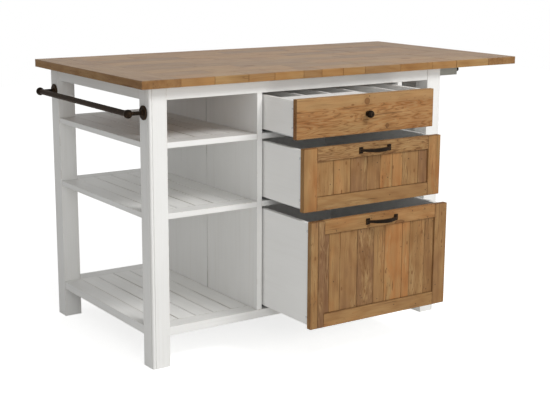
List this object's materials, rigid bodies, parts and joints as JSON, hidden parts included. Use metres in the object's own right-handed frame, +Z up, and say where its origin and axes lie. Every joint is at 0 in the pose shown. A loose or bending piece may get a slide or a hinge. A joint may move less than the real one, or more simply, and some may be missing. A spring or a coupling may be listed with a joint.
{
  "type": "kitchen island",
  "caption": "Free-standing kitchen island with open slatted shelves, a stack of drawers, a tray slot, a towel rail and a drop leaf at one end of its wooden worktop.",
  "frame": {"origin": "bottom centre of the box round the island as it stands, with the drawers open as in the picture and the leaf up", "axes": "+X along the front to the leaf, +Y from the drawers to the back, +Z up"},
  "size_m": [1.527, 1.042, 0.9],
  "materials": {
    "worktop_wood": "waxed reclaimed pine, grey-brown",
    "front_wood": "waxed reclaimed pine, orange-brown",
    "frame_white": "satin white paint",
    "box_white": "white lacquered board",
    "dark_bronze": "satin black bronze",
    "runner_steel": "zinc plated",
    "bracket_steel": "grey enamel"
  },
  "bodies": {
    "carcass": {"worktop": "worktop_wood", "worktop_cleat": "worktop_wood", "leg_front_left": "frame_white", "leg_front_right": "frame_white", "leg_back_left": "frame_white", "leg_back_right": "frame_white", "apron_front": "frame_white", "apron_back": "frame_white", "apron_left": "frame_white", "end_rail_right": "frame_white", "base_rail_front": "frame_white", "base_rail_back": "frame_white", "base_end_rails": "frame_white", "base_slats": "frame_white", "base_board": "frame_white", "shelf_upper_frame": "frame_white", "shelf_upper_slats": "frame_white", "shelf_middle_frame": "frame_white", "shelf_middle_slats": "frame_white", "divider_front_board": "frame_white", "divider_back_board": "frame_white", "partition": "frame_white", "end_panel": "frame_white", "back_panel": "frame_white", "drawer_boards": "frame_white", "runner_cabinet_members": "runner_steel", "towel_brackets": "dark_bronze", "towel_bar": "dark_bronze", "leaf_ears": "bracket_steel", "leaf_pins": "bracket_steel"},
    "drawer_top": {"drawer_top_front": "front_wood", "drawer_top_sides": "box_white", "drawer_top_ends": "box_white", "drawer_top_bottom": "box_white", "cutlery_deck": "box_white", "cutlery_dividers": "box_white", "knob": "dark_bronze", "runner_top_members": "runner_steel"},
    "drawer_middle": {"drawer_middle_frame": "front_wood", "drawer_middle_planks": "front_wood", "drawer_middle_sides": "box_white", "drawer_middle_ends": "box_white", "drawer_middle_bottom": "box_white", "handle_middle": "dark_bronze", "runner_middle_members": "runner_steel"},
    "drawer_bottom": {"drawer_bottom_frame": "front_wood", "drawer_bottom_planks": "front_wood", "drawer_bottom_sides": "box_white", "drawer_bottom_ends": "box_white", "drawer_bottom_bottom": "box_white", "handle_bottom": "dark_bronze", "runner_bottom_members": "runner_steel"},
    "slides_top": {"runner_top_slides": "runner_steel"},
    "slides_middle": {"runner_middle_slides": "runner_steel"},
    "slides_bottom": {"runner_bottom_slides": "runner_steel"},
    "leaf": {"leaf": "worktop_wood", "leaf_cleat": "worktop_wood", "leaf_arms": "bracket_steel"},
    "button_front": {"release_button_front": "dark_bronze"},
    "button_back": {"release_button_back": "dark_bronze"}
  },
  "joints": [
    {"name": "drawer_top_slide", "type": "slide", "parent": "carcass", "child": "drawer_top", "axis": [0, -1, 0], "range_m": [-0.183, 0.317]},
    {"name": "runner_top_slide", "type": "slide", "parent": "carcass", "child": "slides_top", "axis": [0, -1, 0], "range_m": [-0.0915, 0.1585]},
    {"name": "drawer_middle_slide", "type": "slide", "parent": "carcass", "child": "drawer_middle", "axis": [0, -1, 0], "range_m": [-0.224, 0.276]},
    {"name": "runner_middle_slide", "type": "slide", "parent": "carcass", "child": "slides_middle", "axis": [0, -1, 0], "range_m": [-0.112, 0.138]},
    {"name": "drawer_bottom_slide", "type": "slide", "parent": "carcass", "child": "drawer_bottom", "axis": [0, -1, 0], "range_m": [-0.266, 0.234]},
    {"name": "runner_bottom_slide", "type": "slide", "parent": "carcass", "child": "slides_bottom", "axis": [0, -1, 0], "range_m": [-0.133, 0.117]},
    {"name": "leaf_hinge", "type": "hinge", "parent": "carcass", "child": "leaf", "pos_m": [0.48325, 0.131, 0.868], "axis": [0, 1, 0], "range_deg": [0, 90]},
    {"name": "release_front", "type": "slide", "parent": "leaf", "child": "button_front", "axis": [-1, 0, 0], "range_m": [0, 0.005], "stiffness_N_per_m": 400, "springref_m": -0.004},
    {"name": "release_back", "type": "slide", "parent": "leaf", "child": "button_back", "axis": [-1, 0, 0], "range_m": [0, 0.005], "stiffness_N_per_m": 400, "springref_m": -0.004}
  ],
  "couplings": [
    {"joint": "runner_top_slide", "follows": "drawer_top_slide", "ratio": 0.5},
    {"joint": "runner_middle_slide", "follows": "drawer_middle_slide", "ratio": 0.5},
    {"joint": "runner_bottom_slide", "follows": "drawer_bottom_slide", "ratio": 0.5}
  ]
}
